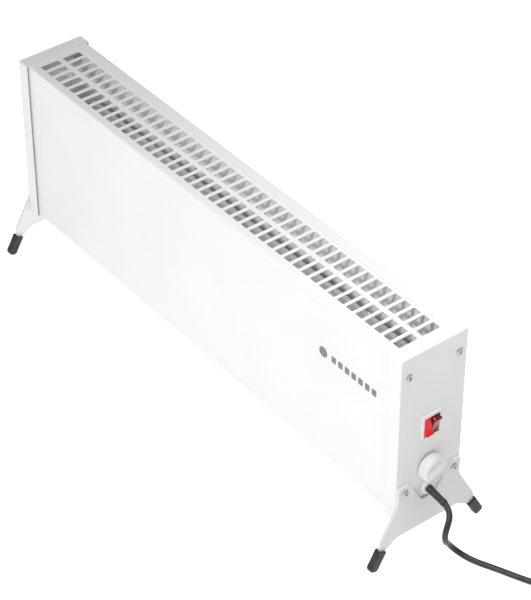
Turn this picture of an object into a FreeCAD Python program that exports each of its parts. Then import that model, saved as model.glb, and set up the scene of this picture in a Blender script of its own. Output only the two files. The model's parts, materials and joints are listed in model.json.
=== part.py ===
import FreeCAD, Part
import math
import os
from FreeCAD import Vector

# Free-standing electric convector heater: a folded sheet-steel casing between two tray-shaped end caps,
# two splayed foot plates with rubber tips, and the controls and the mains lead on the right-hand end.
# Millimetres. +Z is up, +X runs along the casing towards the controls, and the front faces -Y.
# The origin is on the floor, below the middle of the heater without its lead.

# ---- driving dimensions ----
CASING_LENGTH = 700.0
CAP_DEPTH = 90.0
TOP_HEIGHT = 277.0
CAP_HEIGHT = 222.5
CAP_FLANGE = 17.0
SHEET = 1.0
CAP_STEP_Y = 3.5            # how far the caps stand proud of the front and rear panels
CAP_STEP_Z = 1.5            # how far the caps stand proud of the top
BEND = 2.0                  # outer radius of a fold
SLOT_COUNT = 44
SLOT_PITCH = 14.975
SLOT_WIDTH = 10.4
SLOT_GRID_SHIFT = 2.8
TOP_SLOT_ROWS = ((-31.3, -6.4), (0.0, 23.9))
INTAKE_SLOT_ROWS = ((-27.0, -2.0), (4.0, 27.0))
FOOT_SHEET = 3.0
TIP_THICKNESS = 8.5
SCREW_Y = 34.2
UPPER_SCREW_Z = TOP_HEIGHT - 26.5
LOWER_SCREW_Z = TOP_HEIGHT - 186.0
SWITCH_Z = TOP_HEIGHT - 107.0
KNOB_Z = TOP_HEIGHT - 165.2
GLAND_Z = TOP_HEIGHT - 198.0
KNOB_RADIUS = 16.2
KNOB_TOP = 17.25            # the knob's outer face, measured from the end cap
KNOB_TURN = 67.0            # degrees that the grip bar leans to the rear from upright, at rest
ROCKER_SWING = 16.0         # degrees each way from level
SLEEVE_R = 4.4              # of the lead's strain relief, tapering to the next
SLEEVE_END_R = 3.9
CORD_DIAMETER = 6.8
CORD_LENGTH = 1500.0        # of the whole lead, from the strain relief to the plug
KEYHOLE_X = 200.0           # either side of the middle
KEYHOLE_Z = 190.0

# ---- places that follow from them ----
CAP_X = CASING_LENGTH / 2
PLATE_IN = CAP_X - SHEET                        # inner face of an end cap's plate
CAP_Y = CAP_DEPTH / 2
PANEL_Y = CAP_Y - CAP_STEP_Y                    # outer faces of the front and rear panels
PANEL_TOP = TOP_HEIGHT - CAP_STEP_Z
CAP_BOTTOM = TOP_HEIGHT - CAP_HEIGHT
PANEL_BOTTOM = CAP_BOTTOM + SHEET
GRILLE_TOP = PANEL_BOTTOM + 2 * SHEET
REAR_IN = PANEL_Y - SHEET                       # inner face of the rear panel
FOOT_OUT = CAP_X + FOOT_SHEET
TIP_MID = CAP_X + FOOT_SHEET / 2
TIP_OUT = TIP_MID + TIP_THICKNESS / 2
CASING_SHIFT = -(CAP_X + KNOB_TOP - TIP_OUT) / 2    # from the casing's middle to the origin
REAR_EDGE = 15.0                                # depth of the shell's rear edge flange
SHIELD_Y = 33.5
SHIELD_SHEET = 0.8
SHIELD_TOP = 209.0
DIVIDER_X = 296.0
ELEMENT_HEIGHTS = {"lower": 110.0, "upper": 160.0}
ELEMENT_ENDS = (-295.0, 276.0)
BRACKET_PLACES = {"left": -303.0, "right": 283.0}
CORD_R = CORD_DIAMETER / 2

# The lead's route from the strain relief down to the floor and out to its coil, in the row's own frame.
CORD_ROUTE = [
    (372.75, 0, 75.5), (379.5, -0.8, 74.2), (387.5, -5.2, 69.5), (391, -12, 61), (391, -14.5, 51),
    (390, -12, 41), (386, -7, 32.5), (381.5, -1.5, 25.5), (380.5, 4, 17.5), (384, 9, 10),
    (393, 14, 5), (404.5, 18.5, 3.4), (417, 24, 3.4), (433, 31.5, 3.4), (451, 39, 3.4),
    (469, 47.5, 3.4), (484.5, 54, 3.8),
]
COIL_CENTRE = (486.0, 101.6)
COIL_MID_R = 36.0
COIL_LIFT = 0.8                                  # thickness of the tie that the coil rests on
COIL_LAYERS = 2
COIL_COLUMNS = 3
TAIL_ROUTE = [
    (470, 144.8, 11.6), (463, 145.4, 13.2), (456, 146.4, 15.7), (449, 147.3, 17.7), (442, 147.6, 18.5),
]
PLUG_R = 18.5


# ---- general helpers ----
def box(x0, x1, y0, y1, z0, z1):
    return Part.makeBox(x1 - x0, y1 - y0, z1 - z0, Vector(x0, y0, z0))


def rod(start, end, radius):
    """A cylinder between two points."""
    a, b = Vector(*start), Vector(*end)
    return Part.makeCylinder(radius, (b - a).Length, a, b - a)


def rod_x(x0, x1, y, z, radius):
    return rod((x0, y, z), (x1, y, z), radius)


def fuse(shapes):
    first, rest = shapes[0], shapes[1:]
    return first.multiFuse(rest).removeSplitter() if rest else first


def cut(shape, tools):
    return shape.cut(Part.makeCompound(tools))


def at_yz(a, b):
    return Vector(0, a, b)


def at_xz(a, b):
    return Vector(a, 0, b)


def at_xy(a, b):
    return Vector(a, b, 0)


def rounded_face(corners, place):
    """A flat face from corners (a, b, radius), its rounded corners as true arcs."""
    points = [(a, b) for a, b, _ in corners]
    count = len(points)
    edges = []
    stops = []
    for i, (a, b, radius) in enumerate(corners):
        here = place(a, b)
        to_last = (place(*points[i - 1]) - here).normalize()
        to_next = (place(*points[(i + 1) % count]) - here).normalize()
        if radius == 0:
            stops.append((here, here, None))
            continue
        half = to_last.getAngle(to_next) / 2
        reach = radius / math.tan(half)
        inward = (to_last + to_next).normalize()
        middle = here + inward * (radius / math.sin(half) - radius)
        stops.append((here + to_last * reach, here + to_next * reach, middle))
    for i, (start, end, middle) in enumerate(stops):
        if middle is not None:
            edges.append(Part.Arc(start, middle, end).toShape())
        edges.append(Part.LineSegment(end, stops[(i + 1) % count][0]).toShape())
    return Part.Face(Part.Wire(edges))


def prism(corners, place, low, high):
    """A rounded outline pushed along the axis normal to its plane, from low to high."""
    normal = {at_yz: Vector(1, 0, 0), at_xz: Vector(0, 1, 0), at_xy: Vector(0, 0, 1)}[place]
    face = rounded_face(corners, place)
    face.translate(normal * low)
    return face.extrude(normal * (high - low))


def rounded_slot(x_mid, y0, y1, z0, z1, width, radius=1.0):
    x0, x1 = x_mid - width / 2, x_mid + width / 2
    corners = [(x0, y0, radius), (x1, y0, radius), (x1, y1, radius), (x0, y1, radius)]
    return prism(corners, at_xy, z0, z1)


def revolve(profile, origin, axis):
    """A turned solid: profile points are (distance along the axis, radius)."""
    points = [Vector(s, r, 0) for s, r in profile]
    face = Part.Face(Part.makePolygon(points + points[:1]))
    solid = face.revolve(Vector(), Vector(1, 0, 0), 360)
    turn = FreeCAD.Rotation(Vector(1, 0, 0), Vector(*axis))
    solid.Placement = FreeCAD.Placement(Vector(*origin), turn)
    return solid


def mirrored(shape):
    return shape.mirror(Vector(), Vector(1, 0, 0))


def bend_radii(points):
    """Radius of the arc at each inner point of a route: 0.45 of its shorter run over tan(half turn)."""
    radii = []
    for a, b, c in zip(points, points[1:], points[2:]):
        last, following = b - a, c - b
        half = last.getAngle(following) / 2
        radii.append(0.45 * min(last.Length, following.Length) / math.tan(half))
    return radii


def tube(route, radius):
    """Straight runs joined by tangent arcs, with a round section swept along them."""
    points = [Vector(*p) for p in route]
    edges = []
    here = points[0]
    for a, b, c, bend in zip(points, points[1:], points[2:], bend_radii(points)):
        last, following = (b - a).normalize(), (c - b).normalize()
        half = last.getAngle(following) / 2
        reach = bend * math.tan(half)
        start, end = b - last * reach, b + following * reach
        inward = (following - last).normalize()
        middle = b + inward * (bend / math.cos(half) - bend)
        edges.append(Part.LineSegment(here, start).toShape())
        edges.append(Part.Arc(start, middle, end).toShape())
        here = end
    edges.append(Part.LineSegment(here, points[-1]).toShape())
    path = Part.Wire(edges)
    ring = Part.Wire(Part.makeCircle(radius, points[0], points[1] - points[0]))
    solid = path.makePipeShell([ring], True, False)
    share = solid.Volume / (math.pi * radius ** 2 * path.Length)
    return solid, path.Length, share


# ---- casing ----
def slot_centres():
    first = SLOT_GRID_SHIFT - (SLOT_COUNT - 1) / 2 * SLOT_PITCH
    return [first + i * SLOT_PITCH for i in range(SLOT_COUNT)]


def slots(rows, z0, z1):
    return [rounded_slot(x, y0, y1, z0, z1, SLOT_WIDTH) for y0, y1 in rows for x in slot_centres()]


def end_flange_holes():
    ends = (-1, 1)
    return [rod_x(s * (CAP_X - 20), s * CAP_X, y, z, 2.0)
            for s in ends for y in (-SCREW_Y, SCREW_Y) for z in (UPPER_SCREW_Z, LOWER_SCREW_Z)]


def end_flanges(y0, y1, top):
    bottom = PANEL_BOTTOM + 3
    plates = [(PLATE_IN - SHEET, PLATE_IN), (-PLATE_IN, -PLATE_IN + SHEET)]
    return [box(x0, x1, y0, y1, bottom, top) for x0, x1 in plates]


def rear_screw_places():
    return [(x, z) for x in (-290, -145, 0, 145, 290) for z in (PANEL_BOTTOM + 9, PANEL_TOP - 8)]


def rear_screw_holes(radius):
    return [rod((x, REAR_IN - 2, z), (x, PANEL_Y + 1, z), radius) for x, z in rear_screw_places()]


def front_shell():
    """One sheet: rear edge flange, slotted top, front face and bottom return."""
    t, inner = SHEET, BEND - SHEET
    edge = REAR_IN - t
    corners = [
        (REAR_IN, PANEL_TOP - REAR_EDGE, 0), (REAR_IN, PANEL_TOP, BEND), (-PANEL_Y, PANEL_TOP, BEND),
        (-PANEL_Y, PANEL_BOTTOM, BEND), (-PANEL_Y + 12, PANEL_BOTTOM, 0),
        (-PANEL_Y + 12, PANEL_BOTTOM + t, 0), (-PANEL_Y + t, PANEL_BOTTOM + t, inner),
        (-PANEL_Y + t, PANEL_TOP - t, inner), (edge, PANEL_TOP - t, inner), (edge, PANEL_TOP - REAR_EDGE, 0),
    ]
    sheet = prism(corners, at_yz, -PLATE_IN, PLATE_IN)
    shell = fuse([sheet] + end_flanges(-PANEL_Y + t / 2, -PANEL_Y + 14.5, PANEL_TOP - 3))
    openings = slots(TOP_SLOT_ROWS, PANEL_TOP - 2 * t, PANEL_TOP + t)
    return cut(shell, openings + end_flange_holes() + rear_screw_holes(1.5))


def rear_panel():
    """Back sheet with a top flange that lies on the shell, a bottom return and two wall-hook keyholes."""
    t, inner = SHEET, BEND - SHEET
    top = PANEL_TOP + t
    corners = [
        (28, PANEL_TOP, 0), (28, top, 0), (PANEL_Y, top, BEND), (PANEL_Y, PANEL_BOTTOM, BEND),
        (PANEL_Y - 12, PANEL_BOTTOM, 0), (PANEL_Y - 12, PANEL_BOTTOM + t, 0),
        (REAR_IN, PANEL_BOTTOM + t, inner), (REAR_IN, PANEL_TOP, inner),
    ]
    sheet = prism(corners, at_yz, -PLATE_IN, PLATE_IN)
    panel = fuse([sheet] + end_flanges(PANEL_Y - 14.5, PANEL_Y - t / 2, PANEL_TOP - REAR_EDGE - 1))
    clear = CAP_X - CAP_FLANGE - 0.5
    under_caps = [box(x0, x1, 20, 50, PANEL_TOP, top + 1) for x0, x1 in ((-CAP_X, -clear), (clear, CAP_X))]
    keyholes = []
    hook = KEYHOLE_Z + 10
    for x in (-KEYHOLE_X, KEYHOLE_X):
        keyholes.append(rod((x, REAR_IN - 2, KEYHOLE_Z), (x, PANEL_Y + 2, KEYHOLE_Z), 5.0))
        keyholes.append(rod((x, REAR_IN - 2, hook), (x, PANEL_Y + 2, hook), 2.5))
        keyholes.append(box(x - 2.5, x + 2.5, REAR_IN - 1, PANEL_Y + 1, KEYHOLE_Z, hook))
    spacer_holes = [rod((x, 36, z), (x, 50, z), 2.0) for x, z in spacer_places()]
    return cut(panel, under_caps + end_flange_holes() + rear_screw_holes(1.8) + keyholes + spacer_holes)


def intake_grille():
    """Slotted floor of the casing, with an upturned rear edge that the rear panel screws to."""
    t, z0 = SHEET, PANEL_BOTTOM + SHEET
    front = -PANEL_Y + t + BEND
    corners = [
        (front, z0, 0), (REAR_IN, z0, BEND), (REAR_IN, z0 + 14, 0), (REAR_IN - t, z0 + 14, 0),
        (REAR_IN - t, z0 + t, BEND - t), (front, z0 + t, 0),
    ]
    sheet = prism(corners, at_yz, -PLATE_IN + 2, PLATE_IN - 2)
    return cut(sheet, slots(INTAKE_SLOT_ROWS, z0 - 1, z0 + 2) + rear_screw_holes(1.5))


def end_cap():
    """Right-hand tray: a plate with a flange all round, its outer edges folded round."""
    depth = CAP_FLANGE
    outer = box(CAP_X - depth, CAP_X + 5, -CAP_Y, CAP_Y, CAP_BOTTOM, TOP_HEIGHT)
    outer = outer.makeFillet(BEND, [e for e in outer.Edges if abs(e.tangentAt(e.FirstParameter).x) > 0.9])
    outer = outer.cut(box(CAP_X, CAP_X + 9, -60, 60, 0, 300))
    outer = outer.makeFillet(1.2, [e for e in outer.Edges if e.BoundBox.XMin > CAP_X - 0.01])
    y_in, z_low, z_high = CAP_Y - SHEET, CAP_BOTTOM + SHEET, TOP_HEIGHT - SHEET
    corners = [(-y_in, z_low, 1), (y_in, z_low, 1), (y_in, z_high, 1), (-y_in, z_high, 1)]
    return outer.cut(prism(corners, at_yz, CAP_X - depth - 1, PLATE_IN))


def cap_screw_holes(radius):
    return [rod_x(CAP_X - 3, CAP_X + 3, y, z, radius)
            for y in (-SCREW_Y, SCREW_Y) for z in (UPPER_SCREW_Z, LOWER_SCREW_Z)]


def end_cap_right():
    window = box(CAP_X - 5, CAP_X + 5, -12, 12, *HOUSING_Z)
    holes = [rod_x(CAP_X - 5, CAP_X + 5, 0, KNOB_Z, 5.0), rod_x(CAP_X - 5, CAP_X + 5, 0, GLAND_Z, 6.0)]
    return cut(end_cap(), [window] + holes + cap_screw_holes(2.1))


def end_cap_left():
    return mirrored(cut(end_cap(), cap_screw_holes(2.1)))


def pan_screw(x_seat, y, z, length, head_r=4.4, shank_r=2.0):
    """Pan-head cross-recessed screw along -X, its head seated on x_seat."""
    rise, arm, slot = 0.56 * head_r, 0.52 * head_r, 0.12 * head_r
    profile = [(-length, 0), (-length, shank_r), (0, shank_r), (0, head_r), (0.3 * rise, head_r),
               (0.68 * rise, head_r * 0.86), (0.92 * rise, head_r * 0.52), (rise, 0)]
    screw = revolve(profile, (x_seat, y, z), (1, 0, 0))
    x0, x1 = x_seat + 0.4 * rise, x_seat + rise + 1
    recess = fuse([box(x0, x1, y - arm, y + arm, z - slot, z + slot),
                   box(x0, x1, y - slot, y + slot, z - arm, z + arm)])
    recess.rotate(Vector(x_seat, y, z), Vector(1, 0, 0), 20)
    return screw.cut(recess)


def end_screws(seat, z):
    right = [pan_screw(seat, y, z, 9) for y in (-SCREW_Y, SCREW_Y)]
    return Part.makeCompound(right + [mirrored(s) for s in right])


def rear_panel_screws():
    screws = []
    for x, z in rear_screw_places():
        screw = pan_screw(0, 0, 0, 6, 3.0, 1.5)
        screw.rotate(Vector(), Vector(0, 0, 1), 90)
        screw.translate(Vector(x, PANEL_Y, z))
        screws.append(screw)
    return Part.makeCompound(screws)


def badge():
    """Plain printed trim on the front face: a round dot and a row of seven blank blocks."""
    face, rise, z = -PANEL_Y, 0.3, TOP_HEIGHT - 73.0
    marks = [rod((222, face - rise, z), (222, face, z), 6.5)]
    width, pitch, half, corner = 7.0, 11.0, 4.2, 1.2
    for i in range(7):
        x0 = 236 + i * pitch
        x1 = x0 + width
        outline = [(x0, z - half, corner), (x1, z - half, corner), (x1, z + half, corner), (x0, z + half, corner)]
        marks.append(prism(outline, at_xz, face - rise, face))
    return Part.makeCompound(marks)


# ---- feet ----
LEG_TOP = (43.5, 76.5)
LEG_SHOULDER = (66.2, 35.2)
LEG_INNER = (57.0, 22.4)
KNEE = (43.3, 30.8)
MOUTH = Vector(0, 63.7, 23.9)                   # middle of a rubber tip's mouth
LEG_LEAN = 60.5                                 # degrees that a leg's end falls below level
TIP_HALF_WIDTH = 5.8
TENON_HALF_WIDTH = 3.9                          # the end of a leg inside its tip
TENON_LENGTH = 14.0


def leg_axes():
    lean = math.radians(LEG_LEAN)
    return Vector(0, math.cos(lean), -math.sin(lean)), Vector(0, math.sin(lean), math.cos(lean))


def on_leg(along, across):
    down, aside = leg_axes()
    place = MOUTH + down * along + aside * across
    return place.y, place.z


def foot_outline():
    tab_top, tab_in, notch = TOP_HEIGHT - 176.5, 28.0, (9.5, 68.5)
    tenon = TENON_HALF_WIDTH
    right = [
        (*KNEE, 5), (*LEG_INNER, 4), (*on_leg(1, -tenon), 1), (*on_leg(TENON_LENGTH, -tenon), 1),
        (*on_leg(TENON_LENGTH, tenon), 1), (*on_leg(-1, tenon), 3), (*LEG_SHOULDER, 6), (*LEG_TOP, 8),
        (LEG_TOP[0], tab_top, 3), (tab_in, tab_top, 3), (*notch, 3),
    ]
    left = [(-y, z, r) for y, z, r in reversed(right)]
    return right + left


def foot_plate():
    """Flat stamped plate with two splayed legs, its outer face rounded along the edge."""
    plate = prism(foot_outline(), at_yz, CAP_X, FOOT_OUT)
    plate = plate.makeFillet(0.6, [e for e in plate.Edges if e.BoundBox.XMin > FOOT_OUT - 0.01])
    return cut(plate, [rod_x(CAP_X - 3, CAP_X + 4, y, LOWER_SCREW_Z, 2.1) for y in (-SCREW_Y, SCREW_Y)])


def foot_tip():
    """Rubber shoe over the end of a leg: dipped mouth, round end, worn flat where it stands."""
    half, narrowing, corner, wear, round_over = TIP_HALF_WIDTH, 0.5, 4.8, 0.5, 1.8
    drop, rise = LEG_LEAN, 90 - LEG_LEAN
    low_arc_z = MOUTH.z - (half - narrowing - corner) * math.sin(math.radians(rise))
    length = (low_arc_z - corner + wear) / math.sin(math.radians(drop)) + corner
    local = [(0, -half, 0), (length, narrowing - half, corner), (length, half - narrowing, corner), (0, half, 0)]
    corners = [(*on_leg(s, w), r) for s, w, r in local]
    shoe = prism(corners, at_yz, TIP_MID - TIP_THICKNESS / 2, TIP_OUT)
    rim = [e for e in shoe.Edges if e.BoundBox.XLength < 0.01 and e.BoundBox.ZMin < MOUTH.z - 9]
    shoe = shoe.makeFillet(round_over, rim)
    dip = rod_x(CAP_X - 20, CAP_X + 20, *on_leg(-1.4, 0), 4.2)
    below_floor = box(CAP_X - 20, CAP_X + 20, 0, 120, -20, 0)
    return shoe.cut(dip).cut(below_floor).cut(foot_plate())


def foot_parts():
    plate, tip = foot_plate(), foot_tip()
    front_tip = tip.mirror(Vector(), Vector(0, 1, 0))
    return {
        "foot_plate_right": plate, "foot_plate_left": mirrored(plate),
        "foot_tip_rear_right": tip, "foot_tip_front_right": front_tip,
        "foot_tip_rear_left": mirrored(tip), "foot_tip_front_left": mirrored(front_tip),
    }


# ---- switch ----
BEZEL_FACE = CAP_X + 1.8
PIVOT_X = BEZEL_FACE - 4.2
KEY_Z = SWITCH_Z - 1.4                          # the keys sit a little low in their bezel
KEY_SIDES = {"front": (-10.1, -0.4), "rear": (0.4, 10.1)}
CAVITY_HALF_Z = 12.9
HOUSING_Z = (SWITCH_Z - 14.9, SWITCH_Z + 13.9)


def switch_housing():
    y, z = 13.0, 15.5
    corners = [(-y, SWITCH_Z - z, 1.5), (y, SWITCH_Z - z, 1.5), (y, SWITCH_Z + z, 1.5), (-y, SWITCH_Z + z, 1.5)]
    bezel = prism(corners, at_yz, CAP_X, BEZEL_FACE)
    bezel = bezel.makeFillet(0.8, [e for e in bezel.Edges if e.BoundBox.XMin > BEZEL_FACE - 0.01])
    body = box(CAP_X - 20, CAP_X, -12, 12, *HOUSING_Z)
    y_end = KEY_SIDES["rear"][1] + 0.3
    cavity = box(PIVOT_X - 8.5, CAP_X + 5, -y_end, y_end, KEY_Z - CAVITY_HALF_Z, KEY_Z + CAVITY_HALF_Z)
    return cut(fuse([bezel, body]), [cavity, pivot_pin()])


def pivot_pin():
    return rod((PIVOT_X, -11.6, KEY_Z), (PIVOT_X, 11.6, KEY_Z), 1.0)


def rocker_key(side, tilt):
    """A rocker key, level profile tilted about its pivot; tilt above zero raises its upper end."""
    y0, y1 = KEY_SIDES[side]
    half, outer, valley, floor = 11.1, 6.3, 5.0, -4.0
    corners = [(outer, half, 0.8), (valley, 0, 16), (outer, -half, 0.8), (floor + 2, -half + 0.6, 1),
               (floor, -3, 1), (floor, 3, 1), (floor + 2, half - 0.6, 1)]
    placed = [(PIVOT_X + w, KEY_Z + u, r) for w, u, r in corners]
    key = prism(placed, at_xz, y0, y1)
    key = key.cut(rod((PIVOT_X, y0 - 1, KEY_Z), (PIVOT_X, y1 + 1, KEY_Z), 1.05))
    key.rotate(Vector(PIVOT_X, 0, KEY_Z), Vector(0, 1, 0), tilt)
    return key


TERMINAL_HEIGHTS = (-7.0, 0.0, 7.0)
TERMINAL_END = CAP_X - 29


def switch_terminals():
    return Part.makeCompound([
        box(TERMINAL_END, CAP_X - 20, y - 0.4, y + 0.4, SWITCH_Z + dz - 2.4, SWITCH_Z + dz + 2.4)
        for y in (-5, 5) for dz in TERMINAL_HEIGHTS])


# ---- thermostat ----
SHAFT_R = 3.0
THERMOSTAT_BACK = CAP_X - 24


def thermostat_body():
    case = box(THERMOSTAT_BACK, PLATE_IN, -16, 16, KNOB_Z - 18, KNOB_Z + 18)
    bush = rod_x(PLATE_IN - 1, CAP_X + 3.2, 0, KNOB_Z, 5.0)
    tabs = [box(THERMOSTAT_BACK - 6, THERMOSTAT_BACK, y - 3.2, y + 3.2, KNOB_Z - 0.4, KNOB_Z + 0.4) for y in (-8, 8)]
    body = fuse([case, bush] + tabs)
    return body.cut(rod_x(CAP_X - 8, CAP_X + 5, 0, KNOB_Z, SHAFT_R + 0.05))


def hexagon(flats, x0, x1, y, z):
    reach = flats / math.sqrt(3)
    corners = [(y + reach * math.cos(math.radians(60 * i)), z + reach * math.sin(math.radians(60 * i)), 0)
               for i in range(6)]
    return prism(corners, at_yz, x0, x1)


def thermostat_nut():
    return hexagon(14, CAP_X, CAP_X + 2.2, 0, KNOB_Z).cut(rod_x(CAP_X - 1, CAP_X + 5, 0, KNOB_Z, 5.0))


def thermostat_shaft():
    """D-shaft of the thermostat: its flat faces up."""
    shaft = rod_x(CAP_X - 7.9, CAP_X + 12, 0, KNOB_Z, SHAFT_R)
    return shaft.cut(box(CAP_X + 4, CAP_X + 13, -5, 5, KNOB_Z + 1.5, KNOB_Z + 5))


def thermostat_knob():
    """Round cap with a soft grip bar across its face, hollow below round the nut."""
    base, shoulder = CAP_X + 1.2, CAP_X + KNOB_TOP - 6.0
    profile = [(base, 0), (base, KNOB_RADIUS), (shoulder, KNOB_RADIUS - 0.6), (shoulder + 2.0, KNOB_RADIUS - 2.0),
               (shoulder + 3.1, KNOB_RADIUS - 4.6), (shoulder + 3.5, 0)]
    dome = revolve(profile, (0, 0, KNOB_Z), (1, 0, 0))
    top = CAP_X + KNOB_TOP
    bar = prism([(-3.2, KNOB_Z - 12.2, 3), (3.2, KNOB_Z - 12.2, 3), (3.2, KNOB_Z + 12.2, 3), (-3.2, KNOB_Z + 12.2, 3)],
                at_yz, shoulder, top)
    bar = bar.makeFillet(1.6, [e for e in bar.Edges if e.BoundBox.XMin > top - 0.01])
    bar.rotate(Vector(0, 0, KNOB_Z), Vector(1, 0, 0), -KNOB_TURN)
    recess = revolve([(base - 1, 0), (base - 1, 10), (base + 3.2, 10), (base + 3.2, 0)], (0, 0, KNOB_Z), (1, 0, 0))
    return cut(fuse([dome, bar]), [recess, thermostat_shaft()])


def capillary_tube():
    route = [(CAP_X - 14, 13, KNOB_Z - 18), (CAP_X - 14, 13.5, KNOB_Z - 24), (CAP_X - 18, 17, KNOB_Z - 31),
             (CAP_X - 24, 22, KNOB_Z - 37), (CAP_X - 29, 25, KNOB_Z - 44)]
    return tube(route, 0.8)[0]


def sensor_bulb():
    """Fluid-filled bulb of the thermostat, upright in the incoming air."""
    end = Vector(CAP_X - 29, 25, KNOB_Z - 44)
    profile = [(0, 0), (0, 2), (2, 3.2), (9, 3.2), (11, 0)]
    return revolve(profile, tuple(end), (-0.5, 0.3, -0.7))


# ---- cable entry ----
def cable_gland():
    flange = revolve([(0, 0), (0, 8.75), (1.6, 8.75), (2.5, 7.9), (2.5, 0)], (CAP_X, 0, GLAND_Z), (1, 0, 0))
    neck = rod_x(CAP_X - 12, CAP_X + 1, 0, GLAND_Z, 6.0)
    return fuse([flange, neck]).cut(rod_x(CAP_X - 14, CAP_X + 6, 0, GLAND_Z, SLEEVE_R))


def gland_nut():
    return hexagon(17, PLATE_IN - 5, PLATE_IN, 0, GLAND_Z).cut(rod_x(CAP_X - 20, CAP_X + 5, 0, GLAND_Z, 6.0))


def strain_relief():
    """Tapered rubber sleeve that leaves the gland and droops a little with the lead."""
    start = Vector(CAP_X + 3.6, 0, GLAND_Z)
    end = Vector(*CORD_ROUTE[0]) - Vector(CASING_SHIFT, 0, 0)
    stem = rod_x(CAP_X - 12, start.x, 0, GLAND_Z, SLEEVE_R)
    knuckle = Part.makeSphere(SLEEVE_R, start)
    sleeve = Part.makeCone(SLEEVE_R, SLEEVE_END_R, (end - start).Length, start, end - start)
    return fuse([stem, knuckle, sleeve])


def cord_parts():
    """The lead from the strain relief to its coil, the coil, its tie and the tail to the plug."""
    lead, lead_length, lead_share = tube(CORD_ROUTE, CORD_R)
    tail, tail_length, tail_share = tube(TAIL_ROUTE, CORD_R)
    centre = Vector(COIL_CENTRE[0], COIL_CENTRE[1], COIL_LIFT)
    half = COIL_COLUMNS * CORD_R
    height = COIL_LAYERS * CORD_DIAMETER
    inner, outer = COIL_MID_R - half, COIL_MID_R + half
    coil = revolve([(0, inner), (0, outer), (height, outer), (height, inner)], tuple(centre), (0, 0, 1))
    band = box(-4, 4, inner - COIL_LIFT, outer + COIL_LIFT, -COIL_LIFT, height + COIL_LIFT)
    band = band.cut(box(-5, 5, inner, outer, 0, height))
    band.rotate(Vector(), Vector(0, 0, 1), 150)
    band.translate(centre)
    for name, route in (("lead", CORD_ROUTE), ("tail", TAIL_ROUTE)):
        radii = bend_radii([Vector(*p) for p in route])
        print(name, "bend radii (mm):", ", ".join(f"{r:.1f}" for r in radii))
    print(f"lead {lead_length:.0f} mm, tail {tail_length:.0f} mm, volume over section times length "
          f"{lead_share:.4f} {tail_share:.4f}")
    turns = (CORD_LENGTH - lead_length - tail_length) / (2 * math.pi * COIL_MID_R)
    print(f"coil holds {turns:.2f} turns")
    return {"power_cord_lead": lead, "power_cord_tail": tail, "power_cord_coil": coil, "cord_tie": band}


def plug_pin(face, y):
    """Round pin with a slimmer root moulded into the plug."""
    profile = [(-3, 0), (-3, 2.0), (0.3, 2.0), (0.3, 2.4), (17.8, 2.4), (19, 1.2), (19, 0)]
    return revolve(profile, (face, y, 0), (1, 0, 0))


def plug_parts():
    """Two-pin earthed plug lying on its side along -X, its lead entering at the back."""
    back = Vector(*TAIL_ROUTE[-1])
    grip, face = 20.0, 54.0
    profile = [(0, 0), (0, 4.4), (grip, 6.5), (grip + 4, 12), (grip + 16, 14.5), (face - 12, 14.5), (face - 10, PLUG_R),
               (face - 1, PLUG_R), (face, PLUG_R - 1), (face, 0)]
    body = revolve(profile, (0, 0, 0), (1, 0, 0))
    side = PLUG_R - 2.2
    grooves = [box(face - 14, face + 1, -3, 3, z0, z0 + 4) for z0 in (side, -side - 4)]
    clips = [box(face - 12, face - 0.5, -2, 2, side - 1.0, side), box(face - 12, face - 0.5, -2, 2, -side, 1.0 - side)]
    pins = [plug_pin(face, y) for y in (-9.5, 9.5)]
    body = cut(body, grooves + clips + pins)
    parts = {"plug_body": body, "plug_pins": Part.makeCompound(pins), "plug_earth_clips": Part.makeCompound(clips)}
    turn = FreeCAD.Rotation(Vector(0, 0, 1), 180)
    roll = FreeCAD.Rotation(Vector(1, 0, 0), 90)
    for shape in parts.values():
        shape.Placement = FreeCAD.Placement(Vector(back.x, back.y, PLUG_R), turn.multiply(roll))
    return parts


# ---- inside ----
def divider_plate():
    """Wall between the hot side and the controls."""
    x0, x1 = DIVIDER_X, DIVIDER_X + SHEET
    y0, y1, z1 = -PANEL_Y + SHEET, REAR_IN - SHEET, PANEL_TOP - 60
    outline = [(y0, GRILLE_TOP, 2), (y1, GRILLE_TOP, 2), (y1, z1, 2), (y0, z1, 2)]
    wall = prism(outline, at_yz, x0, x1)
    foot = box(x0 - 10, x1, y0, y0 + SHEET, GRILLE_TOP + 3, z1 - 3)
    holes = [rod_x(x0 - 2, x1 + 2, 0, z, 7.0) for z in ELEMENT_HEIGHTS.values()]
    holes.append(rod_x(x0 - 2, x1 + 2, 24, 70, 3.5))
    return cut(fuse([wall, foot]), holes)


def spacer_places():
    return [(x, z) for x in (-250, 0, 250) for z in (85, 195)]


def heat_shield():
    """Bright sheet that keeps the rear panel cool, with a lip along its top."""
    x0, x1 = -310, 290
    sheet = box(x0, x1, SHIELD_Y, SHIELD_Y + SHIELD_SHEET, 66, SHIELD_TOP)
    lip = box(x0, x1, SHIELD_Y - 5, SHIELD_Y + SHIELD_SHEET, SHIELD_TOP - SHIELD_SHEET, SHIELD_TOP)
    return cut(fuse([sheet, lip]), [rod((x, 30, z), (x, 40, z), 2.0) for x, z in spacer_places()])


def shield_spacers():
    """Shouldered studs that stand the shield off the rear panel."""
    profile = [(-1.2, 0), (-1.2, 3.5), (0, 3.5), (0, 2.0), (SHIELD_SHEET, 2.0), (SHIELD_SHEET, 4.0),
               (REAR_IN - SHIELD_Y, 4.0), (REAR_IN - SHIELD_Y, 2.0), (PANEL_Y - SHIELD_Y, 2.0),
               (PANEL_Y - SHIELD_Y, 0)]
    return Part.makeCompound([revolve(profile, (x, SHIELD_Y, z), (0, 1, 0)) for x, z in spacer_places()])


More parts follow.
